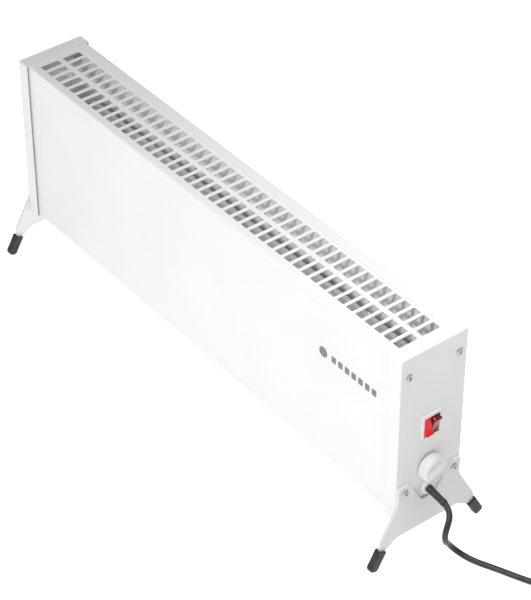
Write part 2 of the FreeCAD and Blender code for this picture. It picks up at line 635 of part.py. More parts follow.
def element_bracket(x0):
    """Upright bracket that carries both elements, fixed to the heat shield."""
    web = box(x0, x0 + SHEET, -22, SHIELD_Y, 88, 182)
    flange = box(x0 - 9, x0 + SHEET, SHIELD_Y - SHEET, SHIELD_Y, 88, 182)
    return cut(fuse([web, flange]), [rod_x(x0 - 2, x0 + 3, 0, z, 7.0) for z in ELEMENT_HEIGHTS.values()])


def heating_profile(z):
    """Extruded aluminium body with six radiating fins round the heating rod."""
    x0, x1 = ELEMENT_ENDS
    fins = []
    for i in range(6):
        fin = box(x0, x1, -1, 1, 6, 22)
        fin.rotate(Vector(), Vector(1, 0, 0), 60 * i + 30)
        fins.append(fin)
    body = fuse([rod_x(x0, x1, 0, 0, 9.0)] + fins).cut(rod_x(x0 - 1, x1 + 1, 0, 0, 4.0))
    body.translate(Vector(0, 0, z))
    return body


ROD_ENDS = (-314.0, 306.0)


def heating_rod(z):
    sheath = rod_x(ELEMENT_ENDS[0] - 11, ELEMENT_ENDS[1] + 22, 0, z, 4.0)
    pins = [rod_x(ROD_ENDS[0], ELEMENT_ENDS[0] - 11, 0, z, 2.0), rod_x(ELEMENT_ENDS[1] + 22, ROD_ENDS[1], 0, z, 2.0)]
    return fuse([sheath] + pins)


def ceramic_bushes():
    """Insulating bushes that hold the rods in their brackets."""
    bushes = []
    profile = [(-3, 4.0), (-3, 6.6), (0, 6.6), (0, 7.0), (SHEET, 7.0), (SHEET, 9.0), (5, 9.0), (5, 4.0)]
    for z in ELEMENT_HEIGHTS.values():
        bushes.append(revolve(profile, (BRACKET_PLACES["right"], 0, z), (1, 0, 0)))
        bushes.append(revolve(profile, (BRACKET_PLACES["left"] + SHEET, 0, z), (-1, 0, 0)))
    return Part.makeCompound(bushes)


CUTOUT_X = -20.0
CUTOUT_Z = 197.0


def thermal_cutout():
    disc = rod((CUTOUT_X, 27, CUTOUT_Z), (CUTOUT_X, 32.5, CUTOUT_Z), 8.0)
    plate = box(CUTOUT_X - 12, CUTOUT_X + 12, 32.5, SHIELD_Y, CUTOUT_Z - 8, CUTOUT_Z + 8)
    tabs = [box(CUTOUT_X + s - 2, CUTOUT_X + s + 2, 22, 27, CUTOUT_Z - 0.4, CUTOUT_Z + 0.4) for s in (-5, 5)]
    return fuse([disc, plate] + tabs)


BLOCK_FACE = DIVIDER_X + SHEET + 12


def terminal_block():
    block = box(DIVIDER_X + SHEET, BLOCK_FACE, -16, 16, 64, 84)
    return cut(block, [rod((BLOCK_FACE - 5, y, 78), (BLOCK_FACE - 5, y, 85), 2.2) for y in (-10, 0, 10)])


def terminal_screws():
    return Part.makeCompound([rod((BLOCK_FACE - 5, y, 78), (BLOCK_FACE - 5, y, 83), 2.2) for y in (-10, 0, 10)])


def earth_stud():
    """Earth screw and nut on the divider."""
    x = DIVIDER_X + SHEET
    return fuse([hexagon(7, x, x + 3, -30, 100), rod_x(x, x + 8, -30, 100, 2.0)])


def inner_cable():
    return rod_x(CAP_X - 24, CAP_X - 12, 0, GLAND_Z, CORD_R)


def wires():
    """Insulated wires between the cable, the block, the thermostat, the switch and the elements."""
    switch_low, switch_mid = SWITCH_Z - 7, SWITCH_Z
    low, high = ELEMENT_HEIGHTS["lower"], ELEMENT_HEIGHTS["upper"]
    left = ROD_ENDS[0]
    routes = {
        "live_to_switch": [(304, -13, 84), (304.5, -13, 110), (305, -14, 140), (308, -11, 163), (314, -6, 171),
                           (TERMINAL_END, -5, switch_mid)],
        "live_to_thermostat": [(304, 13, 84), (304, 13.5, 96), (307, 12, 107), (313, 9, 114), (320, 8, KNOB_Z)],
        "thermostat_to_switch": [(320, -8, KNOB_Z), (313, -8, 118), (310, -2, 130), (311, 6, 145), (312, 9, 160),
                                 (315, 7, 169), (TERMINAL_END, 5, switch_mid)],
        "switch_to_upper": [(TERMINAL_END, -5, switch_low), (315, -5, 164), (310, -2, 161), (ROD_ENDS[1], 0, high)],
        "switch_to_lower": [(TERMINAL_END, 5, switch_low), (316, 4, 162), (315, 0, 148), (313, 0, 132),
                            (311, 1, 118), (ROD_ENDS[1], 0, low)],
        "cable_live": [(CAP_X - 24, -1.6, GLAND_Z), (319, -3, 80.5), (314, -7, 78), (BLOCK_FACE, -10, 74)],
        "cable_neutral": [(CAP_X - 24, 1.6, GLAND_Z), (319, 3, 80.5), (314, 7, 78), (BLOCK_FACE, 10, 74)],
        "left_bridge": [(left, 0, high), (left - 8, 0, high - 3), (left - 12, 0, 148), (left - 12, 0, 122),
                        (left - 8, 0, low + 3), (left, 0, low)],
        "left_return": [(left - 12, 1.3, 135), (left - 11.5, 10, 129), (left - 9, 17, 112), (left - 2, 21, 90),
                        (left + 14, 23, 77), (left + 40, 24.5, 73), (-200, 26, 74), (-120, 27.5, 72),
                        (CUTOUT_X - 44, 27.5, 77), (CUTOUT_X - 24, 27.8, 96), (CUTOUT_X - 19, 28, 130),
                        (CUTOUT_X - 18, 27.8, 170), (CUTOUT_X - 16, 26.5, 186), (CUTOUT_X - 12, 24.8, 195),
                        (CUTOUT_X - 7, 24.5, CUTOUT_Z)],
        "cutout_return": [(CUTOUT_X + 7, 24.5, CUTOUT_Z), (CUTOUT_X + 12, 24.8, 195), (CUTOUT_X + 16, 26.5, 186),
                          (CUTOUT_X + 18, 27.8, 170), (CUTOUT_X + 19, 28, 130), (CUTOUT_X + 24, 27.8, 96),
                          (CUTOUT_X + 46, 27.5, 76), (120, 26.5, 72), (200, 25, 71), (270, 24.3, 70),
                          (299, 23.8, 70), (303, 20.5, 71.5), (303.5, 16, 73)],
        "earth": [(CAP_X - 24, 0, GLAND_Z + 1.9), (320, -5, 86), (313, -15, 92), (308, -24, 97),
                  (DIVIDER_X + SHEET + 8, -30, 100)],
    }
    return Part.makeCompound([tube(route, 1.3)[0] for route in routes.values()])


# ---- the whole heater ----
def casing_parts():
    parts = {
        "front_shell": front_shell(),
        "rear_panel": rear_panel(),
        "intake_grille": intake_grille(),
        "end_cap_right": end_cap_right(),
        "end_cap_left": end_cap_left(),
        "cap_screws": end_screws(CAP_X, UPPER_SCREW_Z),
        "foot_screws": end_screws(FOOT_OUT, LOWER_SCREW_Z),
        "rear_panel_screws": rear_panel_screws(),
        "front_badge": badge(),
    }
    parts.update(foot_parts())
    return parts


def control_parts():
    return {
        "switch_housing": switch_housing(),
        "rocker_pivot_pin": pivot_pin(),
        "rocker_key_front": rocker_key("front", -ROCKER_SWING),
        "rocker_key_rear": rocker_key("rear", ROCKER_SWING),
        "switch_terminals": switch_terminals(),
        "thermostat_body": thermostat_body(),
        "thermostat_nut": thermostat_nut(),
        "thermostat_shaft": thermostat_shaft(),
        "thermostat_knob": thermostat_knob(),
        "capillary_tube": capillary_tube(),
        "sensor_bulb": sensor_bulb(),
        "cable_gland": cable_gland(),
        "gland_nut": gland_nut(),
        "strain_relief": strain_relief(),
        "terminal_block": terminal_block(),
        "terminal_screws": terminal_screws(),
        "earth_stud": earth_stud(),
        "inner_cable": inner_cable(),
        "internal_wires": wires(),
    }


def heating_parts():
    parts = {
        "divider_plate": divider_plate(),
        "heat_shield": heat_shield(),
        "shield_spacers": shield_spacers(),
        "ceramic_bushes": ceramic_bushes(),
        "thermal_cutout": thermal_cutout(),
    }
    for name, z in ELEMENT_HEIGHTS.items():
        parts["heating_profile_" + name] = heating_profile(z)
        parts["heating_rod_" + name] = heating_rod(z)
    for name, x in BRACKET_PLACES.items():
        parts["element_bracket_" + name] = element_bracket(x)
    return parts


def main():
    os.makedirs("parts", exist_ok=True)
    heater = {**casing_parts(), **control_parts(), **heating_parts()}
    for shape in heater.values():
        shape.translate(Vector(CASING_SHIFT, 0, 0))
    heater.update(cord_parts())
    heater.update(plug_parts())
    for name, shape in heater.items():
        shape.exportStep(f"parts/{name}.step")
    print(len(heater), "nodes; casing shifted", CASING_SHIFT)


main()
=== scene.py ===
import json
import math

import bmesh
import bpy
from mathutils import Matrix, Vector


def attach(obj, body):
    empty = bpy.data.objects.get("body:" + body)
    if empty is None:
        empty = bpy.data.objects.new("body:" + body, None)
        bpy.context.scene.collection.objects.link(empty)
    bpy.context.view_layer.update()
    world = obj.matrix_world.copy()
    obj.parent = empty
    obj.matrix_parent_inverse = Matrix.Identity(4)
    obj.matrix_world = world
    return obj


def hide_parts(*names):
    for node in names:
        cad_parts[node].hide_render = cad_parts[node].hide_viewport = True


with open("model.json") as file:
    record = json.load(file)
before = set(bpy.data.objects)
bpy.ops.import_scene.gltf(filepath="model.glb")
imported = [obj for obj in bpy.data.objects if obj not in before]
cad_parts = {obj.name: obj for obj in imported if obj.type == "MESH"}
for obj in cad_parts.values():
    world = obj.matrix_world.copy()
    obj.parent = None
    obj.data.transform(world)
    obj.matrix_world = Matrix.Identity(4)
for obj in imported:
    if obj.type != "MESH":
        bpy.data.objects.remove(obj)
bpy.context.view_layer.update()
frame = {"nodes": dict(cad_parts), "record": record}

# A free-standing panel convector heater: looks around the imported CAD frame. Metres; +Z up, the front
# faces -Y and the controls are on the +X end.

NODES = frame["nodes"]
SCENE = bpy.context.scene

# ---- driving values ----
CAMERA_AZIMUTH = math.radians(52.013)
CAMERA_ELEVATION = math.radians(39.059)
CAMERA_DISTANCE = 2.6442
CAMERA_TARGET = Vector((0.0635, 0.0, 0.1563))
CAMERA_LENS = 141.59

WORLD_STRENGTH = 0.28
FLOOR_GLOW = 0.86
FLOOR_HALF = 6.0
LIGHTS = {      # place, target, size, watts
    "key_softbox": ((0.38, -1.15, 1.30), (0.10, 0.0, 0.15), (0.07, 0.07), 11.0),
    "overhead_softbox": ((0.38, 0.10, 1.00), (0.38, 0.10, 0.0), (0.5, 0.4), 4.1),
    "inner_fill": ((-0.005, -0.030, 0.236), (-0.005, 0.0, 0.236), (0.62, 0.03), 0.045),
}

CAP_X = 0.350                   # outer face of an end cap, from the casing's middle
CASING_SHIFT = -0.00575         # from the casing's middle to the origin

CORD_DIAMETER = 0.0068
CORD_ROUTE = [
    (0.37275, 0, 0.0755), (0.3795, -0.0008, 0.0742), (0.3875, -0.0052, 0.0695), (0.391, -0.012, 0.061),
    (0.391, -0.0145, 0.051), (0.390, -0.012, 0.041), (0.386, -0.007, 0.0325), (0.3815, -0.0015, 0.0255),
    (0.3805, 0.004, 0.0175), (0.384, 0.009, 0.010), (0.393, 0.014, 0.005), (0.4045, 0.0185, 0.0034),
    (0.417, 0.024, 0.0034), (0.433, 0.0315, 0.0034), (0.451, 0.039, 0.0034), (0.469, 0.0475, 0.0034),
    (0.4845, 0.054, 0.0038),
]
TAIL_ROUTE = [
    (0.470, 0.1448, 0.0116), (0.463, 0.1454, 0.0132), (0.456, 0.1464, 0.0157), (0.449, 0.1473, 0.0177),
    (0.442, 0.1476, 0.0185),
]
COIL_CENTRE = Vector((0.486, 0.1016, 0.0))
COIL_MID_RADIUS = 0.036
COIL_LIFT = 0.0008
COIL_START = math.radians(-68.8)
COIL_TURNS = 5.441
COIL_POINTS_A_TURN = 20
TIE_ANGLE = math.radians(240)
TIE_HALF_BAND = 0.004
TIE_CORNER = 0.0028
SLEEVE_START = Vector((0.34785, 0, 0.079))
SLEEVE_SEGMENTS = 48
PLUG_RADIUS = 0.0185
PLUG_SEGMENTS = 72
PLUG_RIBS = 5
PLUG_RIB_PITCH = 0.0036


# ---- mesh helpers ----
def new_object(name, mesh):
    piece = bpy.data.objects.new(name, mesh)
    SCENE.collection.objects.link(piece)
    return piece


def mesh_piece(name, verts, faces, smooth_angle=35):
    mesh = bpy.data.meshes.new(name)
    mesh.from_pydata([tuple(v) for v in verts], [], faces)
    mesh.validate()
    work = bmesh.new()
    work.from_mesh(mesh)
    bmesh.ops.remove_doubles(work, verts=work.verts, dist=1e-7)
    bmesh.ops.recalc_face_normals(work, faces=work.faces)
    work.to_mesh(mesh)
    work.free()
    mesh.shade_smooth()
    mesh.set_sharp_from_angle(angle=math.radians(smooth_angle))
    return new_object(name, mesh)


def rings_piece(name, rings, close_start=True, close_end=True, smooth_angle=35):
    """A closed skin over a list of rings that all have the same number of points."""
    count = len(rings[0])
    verts = [p for ring in rings for p in ring]
    faces = []
    for i in range(len(rings) - 1):
        for j in range(count):
            k = (j + 1) % count
            faces.append((i * count + j, i * count + k, (i + 1) * count + k, (i + 1) * count + j))
    if close_start:
        faces.append(tuple(reversed(range(count))))
    if close_end:
        faces.append(tuple(range((len(rings) - 1) * count, len(rings) * count)))
    return mesh_piece(name, verts, faces, smooth_angle)


def axis_frame(origin, axis):
    """A matrix whose X runs along axis, from origin."""
    x = Vector(axis).normalized()
    y = Vector((0, 0, 1)).cross(x)
    y = y.normalized() if y.length > 1e-6 else Vector((0, 1, 0))
    z = x.cross(y)
    turn = Matrix((x, y, z)).transposed().to_4x4()
    return Matrix.Translation(Vector(origin)) @ turn


def lathe(name, profile, origin, axis, segments):
    """Turned piece: profile points are (distance along the axis, radius) in metres."""
    place = axis_frame(origin, axis)
    rings = []
    for s, r in profile:
        ring = []
        for j in range(segments):
            a = 2 * math.pi * j / segments
            ring.append(place @ Vector((s, r * math.cos(a), r * math.sin(a))))
        rings.append(ring)
    return rings_piece(name, rings)


def smoothstep(t):
    t = min(max(t, 0.0), 1.0)
    return t * t * (3 - 2 * t)


# ---- materials ----
class Material:
    """A procedural Principled material, built a layer at a time from object-space textures."""

    def __init__(self, name, colour, roughness, metallic=0.0, **constants):
        self.material = bpy.data.materials.new(name)
        self.material.use_nodes = True
        self.tree = self.material.node_tree
        self.shader = self.tree.nodes["Principled BSDF"]
        self.colour = (*colour, 1.0)
        self.roughness = roughness
        self.shader.inputs["Base Color"].default_value = self.colour
        self.shader.inputs["Roughness"].default_value = roughness
        self.shader.inputs["Metallic"].default_value = metallic
        for socket, value in constants.items():
            self.shader.inputs[socket.replace("_", " ")].default_value = value
        self.coords = self.add("ShaderNodeTexCoord").outputs["Object"]
        self.normal = None

    def add(self, kind, **settings):
        node = self.tree.nodes.new(kind)
        for key, value in settings.items():
            setattr(node, key, value)
        return node

    def link(self, source, target):
        self.tree.links.new(source, target)

    def stretched(self, scale):
        mapping = self.add("ShaderNodeMapping")
        mapping.inputs["Scale"].default_value = scale
        self.link(self.coords, mapping.inputs["Vector"])
        return mapping.outputs["Vector"]

    def noise(self, scale, detail=3.0, rough=0.55, vector=None):
        node = self.add("ShaderNodeTexNoise")
        node.inputs["Scale"].default_value = scale
        node.inputs["Detail"].default_value = detail
        node.inputs["Roughness"].default_value = rough
        self.link(vector or self.coords, node.inputs["Vector"])
        return node.outputs["Fac"]

    def cells(self, scale):
        node = self.add("ShaderNodeTexVoronoi")
        node.inputs["Scale"].default_value = scale
        self.link(self.coords, node.inputs["Vector"])
        return node

    def waves(self, scale, direction, distortion):
        node = self.add("ShaderNodeTexWave", bands_direction=direction)
        node.inputs["Scale"].default_value = scale
        node.inputs["Distortion"].default_value = distortion
        self.link(self.coords, node.inputs["Vector"])
        return node.outputs["Fac"]

    def span(self, source, low, high, start=0.35, end=0.65):
        node = self.add("ShaderNodeMapRange")
        node.inputs["From Min"].default_value = start
        node.inputs["From Max"].default_value = end
        node.inputs["To Min"].default_value = low
        node.inputs["To Max"].default_value = high
        self.link(source, node.inputs["Value"])
        return node.outputs["Result"]

    def tint(self, source, other, start=0.35, end=0.65):
        """Mixes the base colour towards another one where source is high."""
        mix = self.add("ShaderNodeMix", data_type="RGBA")
        mix.inputs["A"].default_value = self.colour
        mix.inputs["B"].default_value = (*other, 1.0)
        self.link(self.span(source, 0.0, 1.0, start, end), mix.inputs["Factor"])
        self.link(mix.outputs["Result"], self.shader.inputs["Base Color"])
        return self

    def gloss(self, source, low, high, start=0.35, end=0.65):
        self.link(self.span(source, low, high, start, end), self.shader.inputs["Roughness"])
        return self

    def bump(self, source, depth, strength=1.0):
        node = self.add("ShaderNodeBump")
        node.inputs["Strength"].default_value = strength
        node.inputs["Distance"].default_value = depth
        self.link(source, node.inputs["Height"])
        if self.normal:
            self.link(self.normal, node.inputs["Normal"])
        self.normal = node.outputs["Normal"]
        self.link(self.normal, self.shader.inputs["Normal"])
        return self


def powder_coat(name, colour, roughness, shade):
    """Satin powder coat: faint orange peel, a slight cloudiness and specks in the gloss."""
    m = Material(name, colour, roughness, Specular_IOR_Level=0.5)
    m.tint(m.noise(9.0, 4.0), shade, 0.3, 0.8)
    m.gloss(m.noise(420.0, 2.0), roughness - 0.05, roughness + 0.07)
    m.bump(m.noise(650.0, 2.0, 0.5), 0.00006, 0.35)
    m.bump(m.noise(130.0, 1.0), 0.0001, 0.12)
    return m.material


def moulded(name, colour, roughness, shade, grain=1500.0, depth=0.00003, **constants):
    """Moulded plastic or rubber with a fine eroded grain."""
    m = Material(name, colour, roughness, **constants)
    m.tint(m.noise(60.0, 3.0), shade, 0.35, 0.75)
    m.gloss(m.noise(260.0, 3.0), roughness - 0.05, roughness + 0.08)
    m.bump(m.noise(grain, 2.0), depth, 0.5)
    return m.material


def rubber(name):
    m = Material(name, (0.024, 0.024, 0.026), 0.55, Specular_IOR_Level=0.4, Sheen_Weight=0.04)
    m.tint(m.noise(90.0, 4.0), (0.05, 0.05, 0.053), 0.45, 0.8)
    m.gloss(m.noise(300.0, 3.0), 0.46, 0.66)
    m.bump(m.noise(900.0, 3.0), 0.00005, 0.5)
    m.bump(m.cells(1400.0).outputs["Distance"], 0.00002, 0.3)
    return m.material


def cord_skin(name):
    m = Material(name, (0.026, 0.026, 0.028), 0.42, Specular_IOR_Level=0.45)
    m.tint(m.noise(55.0, 4.0), (0.045, 0.045, 0.048), 0.45, 0.8)
    m.gloss(m.noise(240.0, 3.0), 0.34, 0.5)
    m.bump(m.noise(1100.0, 2.0), 0.00004, 0.5)
    return m.material


def plated(name, colour, roughness):
    m = Material(name, colour, roughness, metallic=1.0)
    m.tint(m.noise(500.0, 4.0), tuple(c * 0.72 for c in colour), 0.4, 0.75)
    m.gloss(m.noise(900.0, 3.0), roughness - 0.07, roughness + 0.12)
    m.bump(m.noise(2500.0, 2.0), 0.00001, 0.5)
    return m.material


def drawn_metal(name, colour, roughness, along=(6.0, 900.0, 900.0), metallic=1.0):
    """Metal with fine lines along its length."""
    m = Material(name, colour, roughness, metallic=metallic)
    lines = m.noise(1.0, 3.0, 0.6, m.stretched(along))
    m.tint(lines, tuple(c * 0.8 for c in colour), 0.4, 0.7)
    m.gloss(lines, roughness - 0.06, roughness + 0.12)
    m.bump(lines, 0.00002, 0.5)
    return m.material


def galvanised(name):
    m = Material(name, (0.93, 0.93, 0.94), 0.5, metallic=0.12)
    spangle = m.cells(160.0)
    m.tint(spangle.outputs["Color"], (0.84, 0.85, 0.86), 0.2, 0.9)
    m.gloss(m.noise(60.0, 3.0), 0.34, 0.55)
    m.bump(m.noise(700.0, 2.0), 0.00003, 0.4)
    return m.material


def red_key(name, colour, shade, glow=0.0):
    """Tinted moulding with a polished face; glow is how brightly its neon lamp shines through."""
    m = Material(name, colour, 0.25, Coat_Weight=0.15, Coat_Roughness=0.1, Specular_IOR_Level=0.3,
                 Subsurface_Weight=0.15, Subsurface_Scale=0.002, Emission_Color=(0.95, 0.01, 0.01, 1.0),
                 Emission_Strength=glow)
    m.tint(m.noise(120.0, 2.0), shade, 0.3, 0.8)
    m.gloss(m.noise(400.0, 2.0), 0.16, 0.28)
    m.bump(m.noise(1200.0, 2.0), 0.00001, 0.4)
    return m.material


def printed(name):
    m = Material(name, (0.17, 0.17, 0.175), 0.5)
    m.tint(m.noise(700.0, 4.0), (0.26, 0.26, 0.265), 0.4, 0.7)
    m.gloss(m.noise(900.0, 2.0), 0.42, 0.6)
    m.bump(m.noise(1800.0, 2.0), 0.00001, 0.5)
    return m.material


def strap(name):
    """Woven hook-and-loop strap."""
    m = Material(name, (0.03, 0.03, 0.032), 0.85, Sheen_Weight=0.4, Sheen_Roughness=0.5)
    weave = m.waves(420.0, "DIAGONAL", 1.5)
    m.tint(weave, (0.07, 0.07, 0.075), 0.3, 0.8)
    m.gloss(m.noise(300.0, 2.0), 0.75, 0.95)
    m.bump(weave, 0.00015, 0.6)
    m.bump(m.noise(2600.0, 2.0), 0.0001, 0.5)
    return m.material


def all_materials():
    return {
        "white_enamel": powder_coat("white_enamel", (0.86, 0.86, 0.86), 0.42, (0.82, 0.82, 0.82)),
        "foot_enamel": powder_coat("foot_enamel", (0.80, 0.80, 0.80), 0.44, (0.76, 0.76, 0.76)),
        "plated_screw": plated("plated_screw", (0.60, 0.60, 0.60), 0.38),
        "badge_print": printed("badge_print"),
        "tip_rubber": rubber("tip_rubber"),
        "white_plastic": moulded("white_plastic", (0.86, 0.86, 0.85), 0.34, (0.81, 0.81, 0.79)),
        "knob_plastic": moulded("knob_plastic", (0.79, 0.79, 0.785), 0.42, (0.75, 0.75, 0.74),
                                Subsurface_Weight=0.08, Subsurface_Scale=0.002),
        "red_key": red_key("red_key", (0.22, 0.004, 0.006), (0.15, 0.003, 0.004), 0.015),
        "lit_key": red_key("lit_key", (0.46, 0.009, 0.010), (0.36, 0.006, 0.007), 0.34),
        "bright_steel": drawn_metal("bright_steel", (0.70, 0.70, 0.70), 0.3),
        "galvanised": galvanised("galvanised"),
        "brass": plated("brass", (0.80, 0.62, 0.30), 0.28),
        "copper": drawn_metal("copper", (0.80, 0.45, 0.30), 0.35),
        "nickel": plated("nickel", (0.80, 0.78, 0.74), 0.2),
        "lead_pvc": cord_skin("lead_pvc"),
        "tie_strap": strap("tie_strap"),
        "plug_plastic": moulded("plug_plastic", (0.05, 0.05, 0.054), 0.42, (0.08, 0.08, 0.085),
                                1300.0, 0.00005),
        "block_plastic": moulded("block_plastic", (0.82, 0.80, 0.74), 0.4, (0.74, 0.72, 0.66)),
        "wire_insulation": moulded("wire_insulation", (0.78, 0.78, 0.74), 0.5, (0.66, 0.66, 0.62)),
        "ceramic": moulded("ceramic", (0.85, 0.83, 0.77), 0.55, (0.76, 0.73, 0.66), 900.0, 0.00006),
        "element_aluminium": drawn_metal("element_aluminium", (0.90, 0.90, 0.91), 0.55,
                                         (4.0, 500.0, 500.0), 0.5),
    }


MATERIALS = all_materials()


def dress(piece, slot):
    piece.data.materials.clear()
    piece.data.materials.append(MATERIALS[slot])
    return piece


def dress_cad_nodes():
    for entry in frame["record"]["subparts"]:
        node = NODES[entry["node"]]
        dress(node, entry["material_slot"])
        for polygon in node.data.polygons:
            polygon.material_index = 0


def add_piece(piece, slot, body, *stands_for, finish=None):
    dress(piece, finish or slot)
    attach(piece, body)
    if stands_for:
        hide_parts(*stands_for)
    return piece


# ---- the lead ----
def coil_point(turn):
    """Where the lead is after that many turns: three columns inwards below, then outwards on top."""
    columns, pitch = 3, CORD_DIAMETER * 1.01
    outer = COIL_MID_RADIUS + pitch
    whole, part = int(turn), turn - int(turn)
    step = smoothstep((part - 0.75) / 0.25)
    climb = smoothstep((turn - (columns - 0.5)) / 0.25)
    if turn < columns:
        column = min(whole + step, columns - 1)
    else:
        column = columns - 1 - (whole - columns + step)
    shrink = math.cos(math.pi / COIL_POINTS_A_TURN)
    radius = (outer - column * pitch) / shrink
    angle = COIL_START + 2 * math.pi * turn
    height = COIL_LIFT + CORD_DIAMETER * (0.5 + climb)
    return COIL_CENTRE + Vector((radius * math.cos(angle), radius * math.sin(angle), height))


def cord_points():
    steps = round(COIL_TURNS * COIL_POINTS_A_TURN)
    coil = [coil_point(COIL_TURNS * i / steps) for i in range(steps + 1)]
    return [Vector(p) for p in CORD_ROUTE] + coil + [Vector(p) for p in TAIL_ROUTE]


def power_cord():
    curve = bpy.data.curves.new("power_cord", "CURVE")
    curve.dimensions = "3D"
    curve.bevel_depth = CORD_DIAMETER / 2
    curve.bevel_resolution = 6
    curve.use_fill_caps = True
    curve.resolution_u = 8
    points = cord_points()
    spline = curve.splines.new("NURBS")
    spline.points.add(len(points) - 1)
    for point, place in zip(spline.points, points):
        point.co = (*place, 1.0)
    spline.order_u = 3
    spline.use_endpoint_u = True
    spline.use_smooth = True
    return new_object("power_cord", curve)


def cord_tie():
    """A strap wrapped once round the coil's bundle."""
    inner = COIL_MID_RADIUS - 1.5 * CORD_DIAMETER
    outer = COIL_MID_RADIUS + 1.5 * CORD_DIAMETER
    low, high = COIL_LIFT, COIL_LIFT + 2 * CORD_DIAMETER
    corner, thick = TIE_CORNER, COIL_LIFT
    along = Vector((math.cos(TIE_ANGLE), math.sin(TIE_ANGLE), 0))
    across = Vector((-along.y, along.x, 0))
    mids = [(inner + corner, low + corner, 180), (outer - corner, low + corner, 270),
            (outer - corner, high - corner, 0), (inner + corner, high - corner, 90)]
    rings = []
    for radial, z, start in mids:
        for i in range(7):
            a = math.radians(start + 15 * i)
            out = Vector((math.cos(a), math.sin(a)))
            ring = []
            for reach, side in ((0, -1), (thick, -1), (thick, 1), (0, 1)):
                r = radial + out.x * (corner + reach)
                h = z + out.y * (corner + reach)
                ring.append(COIL_CENTRE + along * r + across * (side * TIE_HALF_BAND) + Vector((0, 0, h)))
            rings.append(ring)
    rings.append(rings[0])
    return rings_piece("cord_tie_strap", rings, close_start=False, close_end=False)


def strain_relief():
    """Tapered rubber sleeve with a collar where it leaves the gland and a bead round its end."""
    run = Vector(CORD_ROUTE[0]) - SLEEVE_START
    length = run.length
    profile = [(-0.0045, 0.0), (-0.0045, 0.0042), (0.001, 0.0044), (0.0022, 0.0044), (0.0026, 0.00425),
               (0.004, 0.0042), (length - 0.0042, 0.0039), (length - 0.0038, 0.0042),
               (length - 0.0008, 0.0042), (length - 0.0001, 0.0039), (length - 0.0001, 0.0)]
    return lathe("strain_relief_sleeve", profile, SLEEVE_START, run, SLEEVE_SEGMENTS)


def plug():
    """Moulded earthed plug: a tapered grip with ribs, a waist and a round nose."""
    back = Vector(TAIL_ROUTE[-1])
    profile = [(0.0, 0.0), (0.0, 0.0042)]
    for i in range(PLUG_RIBS):
        s = 0.002 + PLUG_RIB_PITCH * i
        crest, groove = 0.0044 + 0.0004 * i, 0.0038 + 0.0004 * i
        profile += [(s, crest), (s + 0.0018, crest), (s + 0.0021, groove), (s + 0.0033, groove)]
    profile += [(0.0205, 0.0068), (0.0225, 0.0098), (0.0245, 0.0118), (0.028, 0.0132), (0.034, 0.0144),
                (0.040, 0.0145), (0.0425, 0.0150), (0.0436, 0.0172), (0.0446, 0.0183),
                (0.046, PLUG_RADIUS), (0.0525, PLUG_RADIUS), (0.0536, 0.0180), (0.054, 0.0172), (0.054, 0.0)]
    return lathe("plug_moulding", profile, (back.x, back.y, PLUG_RADIUS), (-1, 0, 0), PLUG_SEGMENTS)


def build_lead():
    cord = add_piece(power_cord(), "lead_pvc", "casing",
                     "power_cord_lead", "power_cord_coil", "power_cord_tail")
    tie = add_piece(cord_tie(), "tie_strap", "casing", "cord_tie")
    sleeve = add_piece(strain_relief(), "lead_pvc", "casing", "strain_relief")
    moulding = add_piece(plug(), "plug_plastic", "casing", "plug_body")


# ---- feet ----
LEG_LEAN = math.radians(60.5)
MOUTH = Vector((0.0637, 0.0239))        # middle of a tip's mouth: out from the centre line, up
TIP_LENGTH = 0.02704
TIP_HALF_WIDTH = 0.0058
TIP_HALF_THICK = 0.00425
TIP_MID = CAP_X + 0.0015
TIP_RING_POINTS = 72


def rounded_ring(half_w, half_t, corner, count):
    """Points round a rounded rectangle: (across, through), evenly by angle from the corners' centres."""
    points = []
    quarter = count // 4
    for turn, (sw, st) in enumerate(((1, 1), (-1, 1), (-1, -1), (1, -1))):
        for i in range(quarter):
            a = math.pi / 2 * (turn + i / (quarter - 1))
            points.append((sw * (half_w - corner) + corner * math.cos(a),
                           st * (half_t - corner) + corner * math.sin(a)))
    return points


def mouth_dip(across):
    """How far the middle of a tip's mouth dips below its two raised edges."""
    sag, radius = 0.0014, 0.0042
    return max(math.sqrt(max(radius ** 2 - across ** 2, 0.0)) - sag, 0.0)


def tip_sections():
    """(distance along the leg, half width, half thickness, corner, share of the mouth's dip)."""
    half, thick = TIP_HALF_WIDTH, TIP_HALF_THICK
    round_off = 0.0016
    sections = [
        (0.0030, 0.00395, 0.00154, 0.0006, 1.0), (0.0004, 0.00395, 0.00154, 0.0006, 1.0),
        (0.0001, 0.0041, 0.0018, 0.0008, 1.0), (0.0, half - 0.0007, thick - 0.0008, 0.0010, 1.0),
        (0.0002, half - 0.0003, thick - 0.0003, 0.0013, 1.0), (0.0007, half, thick, round_off, 0.9),
        (0.0022, half, thick, round_off, 0.6), (0.0045, half, thick, round_off, 0.2),
        (0.0070, half, thick, round_off, 0.0), (0.0120, half - 0.0001, thick, round_off, 0.0),
        (0.0175, half - 0.0002, thick, round_off, 0.0),
    ]
    reach = 0.0050
    start = TIP_LENGTH - reach
    for i in range(12):
        a = math.pi / 2 * i / 12
        width = (half - 0.0004) * math.cos(a) ** 0.85 + 0.0004
        depth = thick - 0.0018 * (1 - math.cos(a))
        sections.append((start + reach * math.sin(a), width, depth, min(round_off, width * 0.9), 0.0))
    return sections


